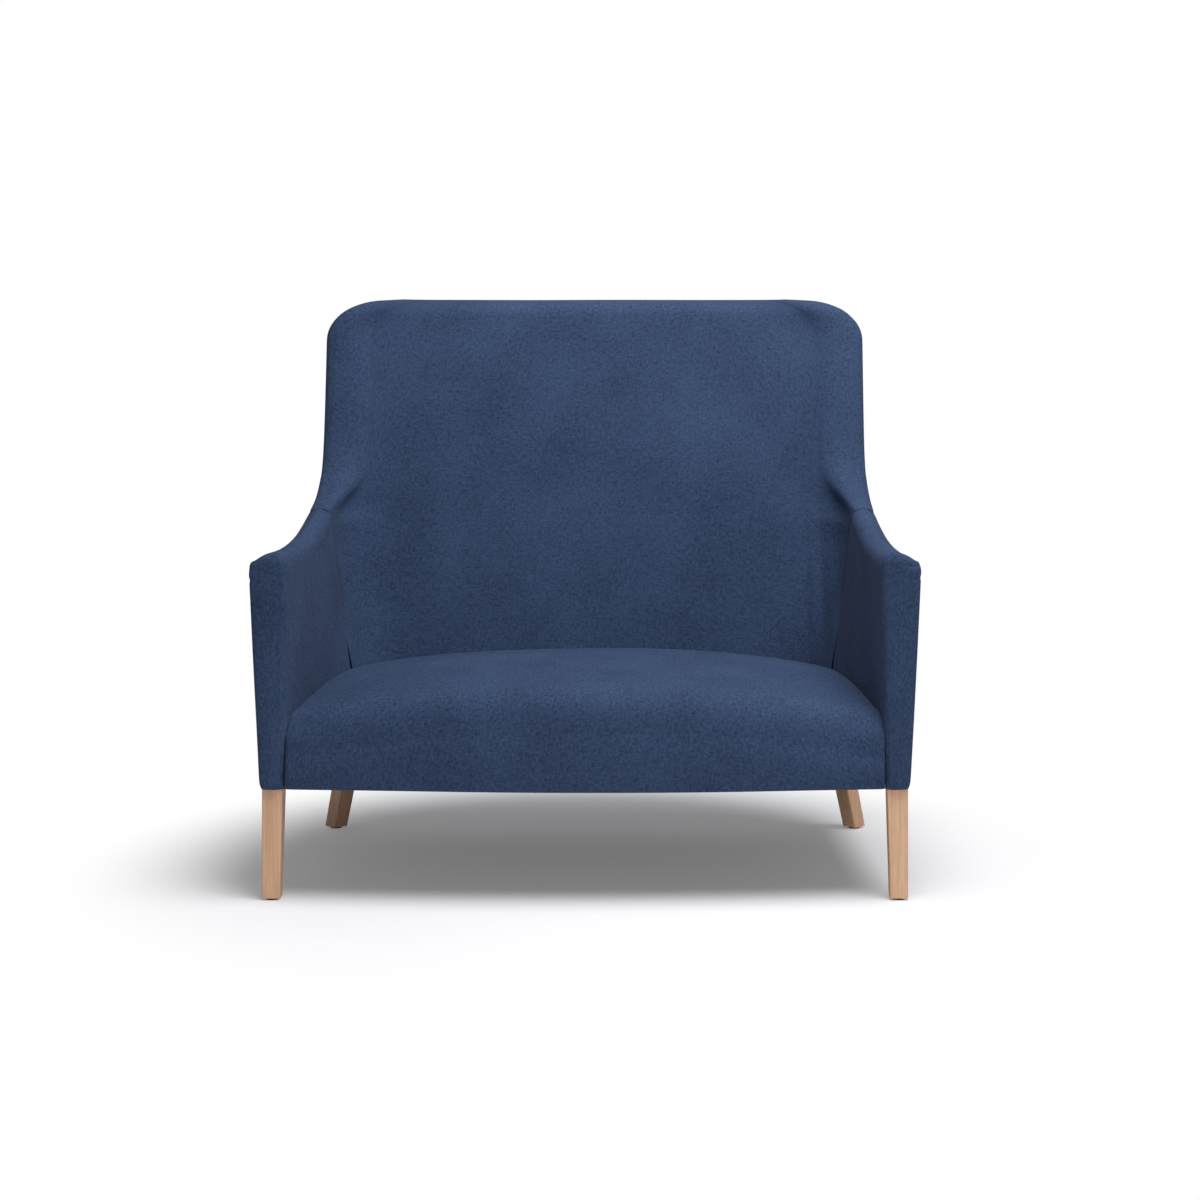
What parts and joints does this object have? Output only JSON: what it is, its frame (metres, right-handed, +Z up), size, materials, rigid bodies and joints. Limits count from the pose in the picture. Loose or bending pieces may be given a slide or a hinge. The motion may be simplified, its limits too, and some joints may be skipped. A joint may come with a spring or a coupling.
{
  "type": "high back settee",
  "caption": "High back settee with a tight crowned seat, hollowed back, slim flared arms and four tapered wooden legs.",
  "frame": {"origin": "on the floor, under the middle of the settee's box", "axes": "+Z up, the front faces -Y, +X to the right seen from the front"},
  "size_m": [1.2998, 0.7899, 1.19],
  "materials": {
    "cover_fabric": "matt woven wool, navy melange",
    "foam": "open-cell foam",
    "oak": "matt oiled oak",
    "frame_wood": "planed beech",
    "board": "plain board",
    "spring_steel": "bright drawn wire",
    "fixing_steel": "zinc plated",
    "webbing": "elastic webbing",
    "lining_cloth": "black non-woven cloth",
    "spring_cloth": "hessian",
    "glide": "nylon"
  },
  "bodies": {
    "root": {"arm_board_left": "frame_wood", "arm_board_right": "frame_wood", "arm_foam_left": "foam", "arm_foam_right": "foam", "arm_lining_left": "board", "arm_lining_right": "board", "arm_post_left": "frame_wood", "arm_post_right": "frame_wood", "back_foam": "foam", "back_straps": "webbing", "back_upright_centre": "frame_wood", "back_upright_left": "frame_wood", "back_upright_right": "frame_wood", "centre_brace": "frame_wood", "dust_sheet_cloth": "lining_cloth", "front_corner_blocks": "frame_wood", "front_leg_left": "oak", "front_leg_right": "oak", "front_rail": "frame_wood", "inside_arm_cover_left": "cover_fabric", "inside_arm_cover_right": "cover_fabric", "inside_back_cover": "cover_fabric", "leg_bolts": "fixing_steel", "leg_glides": "glide", "lower_back_rail_left": "frame_wood", "lower_back_rail_right": "frame_wood", "outside_arm_cover_left": "cover_fabric", "outside_arm_cover_right": "cover_fabric", "outside_back_cover": "cover_fabric", "outside_back_rail": "frame_wood", "outside_wing_cover_left": "cover_fabric", "outside_wing_cover_right": "cover_fabric", "rear_corner_block_left": "frame_wood", "rear_corner_block_right": "frame_wood", "rear_leg_left": "oak", "rear_leg_right": "oak", "rear_rail": "frame_wood", "seat_cover": "cover_fabric", "seat_foam": "foam", "seat_springs": "spring_steel", "side_rail_left": "frame_wood", "side_rail_right": "frame_wood", "spring_clips": "fixing_steel", "spring_cloth": "spring_cloth", "top_rail": "frame_wood", "wing_panel_left": "frame_wood", "wing_panel_right": "frame_wood"}
  },
  "joints": []
}
